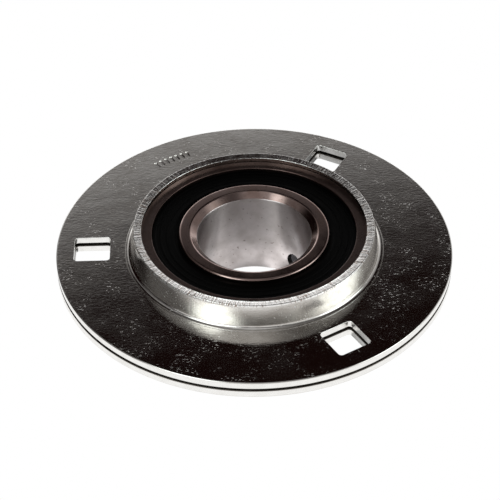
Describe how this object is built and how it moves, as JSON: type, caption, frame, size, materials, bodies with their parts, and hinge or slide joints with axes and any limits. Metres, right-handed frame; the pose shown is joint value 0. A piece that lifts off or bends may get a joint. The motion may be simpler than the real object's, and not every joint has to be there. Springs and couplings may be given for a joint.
{
  "type": "flange mount bearing",
  "caption": "Self-aligning insert ball bearing with set screws, held between two round pressed steel flanges with square bolt holes.",
  "frame": {"origin": "centre of the spherical seat, on the shaft axis, midway between the two flanges", "axes": "+Z along the shaft axis, out of the front, where the inner ring is flush with the outer ring; -X through a bolt hole"},
  "size_m": [0.122, 0.122, 0.0325],
  "materials": {
    "zinc_plated_steel": "bright zinc plating, nearly mirror-like, finely speckled",
    "bearing_steel": "ground and hardened, brownish dark faces with bright edges",
    "ball_steel": "polished",
    "cage_steel": "plain pressed strip",
    "seal_core_steel": "plain pressed sheet",
    "seal_rubber": "moulded, satin black",
    "blackened_steel": "black oxide, oiled"
  },
  "bodies": {
    "housing": {"front_flange": "zinc_plated_steel", "rear_flange": "zinc_plated_steel"},
    "outer_race": {"outer_ring": "bearing_steel", "front_seal_core": "seal_core_steel", "front_seal_rubber": "seal_rubber", "rear_seal_core": "seal_core_steel", "rear_seal_rubber": "seal_rubber"},
    "inner_race": {"inner_ring": "bearing_steel"},
    "cage": {"cage_front_half": "cage_steel", "cage_rear_half": "cage_steel", "cage_rivets": "cage_steel"},
    "ball_1": {"ball_1": "ball_steel"},
    "ball_2": {"ball_2": "ball_steel"},
    "ball_3": {"ball_3": "ball_steel"},
    "ball_4": {"ball_4": "ball_steel"},
    "ball_5": {"ball_5": "ball_steel"},
    "ball_6": {"ball_6": "ball_steel"},
    "ball_7": {"ball_7": "ball_steel"},
    "ball_8": {"ball_8": "ball_steel"},
    "ball_9": {"ball_9": "ball_steel"},
    "set_screw_1": {"set_screw_1": "blackened_steel"},
    "set_screw_2": {"set_screw_2": "blackened_steel"}
  },
  "joints": [
    {"name": "insert_swivel", "type": "hinge", "parent": "housing", "child": "outer_race", "pos_m": [0, 0, 0], "axis": [1, 0, 0], "range_deg": [-3, 3]},
    {"name": "shaft_spin", "type": "hinge", "parent": "outer_race", "child": "inner_race", "pos_m": [0, 0, 0], "axis": [0, 0, 1], "continuous": true},
    {"name": "cage_spin", "type": "hinge", "parent": "outer_race", "child": "cage", "pos_m": [0, 0, 0], "axis": [0, 0, 1], "continuous": true},
    {"name": "ball_1_spin", "type": "hinge", "parent": "cage", "child": "ball_1", "pos_m": [0.02675, 0, 0], "axis": [0, 0, 1], "continuous": true},
    {"name": "ball_2_spin", "type": "hinge", "parent": "cage", "child": "ball_2", "pos_m": [0.02049, 0.01719, 0], "axis": [0, 0, 1], "continuous": true},
    {"name": "ball_3_spin", "type": "hinge", "parent": "cage", "child": "ball_3", "pos_m": [0.00465, 0.02634, 0], "axis": [0, 0, 1], "continuous": true},
    {"name": "ball_4_spin", "type": "hinge", "parent": "cage", "child": "ball_4", "pos_m": [-0.01337, 0.02317, 0], "axis": [0, 0, 1], "continuous": true},
    {"name": "ball_5_spin", "type": "hinge", "parent": "cage", "child": "ball_5", "pos_m": [-0.02514, 0.00915, 0], "axis": [0, 0, 1], "continuous": true},
    {"name": "ball_6_spin", "type": "hinge", "parent": "cage", "child": "ball_6", "pos_m": [-0.02514, -0.00915, 0], "axis": [0, 0, 1], "continuous": true},
    {"name": "ball_7_spin", "type": "hinge", "parent": "cage", "child": "ball_7", "pos_m": [-0.01337, -0.02317, 0], "axis": [0, 0, 1], "continuous": true},
    {"name": "ball_8_spin", "type": "hinge", "parent": "cage", "child": "ball_8", "pos_m": [0.00465, -0.02634, 0], "axis": [0, 0, 1], "continuous": true},
    {"name": "ball_9_spin", "type": "hinge", "parent": "cage", "child": "ball_9", "pos_m": [0.02049, -0.01719, 0], "axis": [0, 0, 1], "continuous": true},
    {"name": "set_screw_1_travel", "type": "slide", "parent": "inner_race", "child": "set_screw_1", "axis": [0.7547, 0.6561, 0], "range_m": [-0.0008, 0.002]},
    {"name": "set_screw_2_travel", "type": "slide", "parent": "inner_race", "child": "set_screw_2", "axis": [0.1908, -0.9816, 0], "range_m": [-0.0008, 0.002]}
  ],
  "couplings": [
    {"joint": "cage_spin", "follows": "shaft_spin", "ratio": 0.39615},
    {"joint": "ball_1_spin", "follows": "shaft_spin", "ratio": -2.3033},
    {"joint": "ball_2_spin", "follows": "shaft_spin", "ratio": -2.3033},
    {"joint": "ball_3_spin", "follows": "shaft_spin", "ratio": -2.3033},
    {"joint": "ball_4_spin", "follows": "shaft_spin", "ratio": -2.3033},
    {"joint": "ball_5_spin", "follows": "shaft_spin", "ratio": -2.3033},
    {"joint": "ball_6_spin", "follows": "shaft_spin", "ratio": -2.3033},
    {"joint": "ball_7_spin", "follows": "shaft_spin", "ratio": -2.3033},
    {"joint": "ball_8_spin", "follows": "shaft_spin", "ratio": -2.3033},
    {"joint": "ball_9_spin", "follows": "shaft_spin", "ratio": -2.3033}
  ]
}
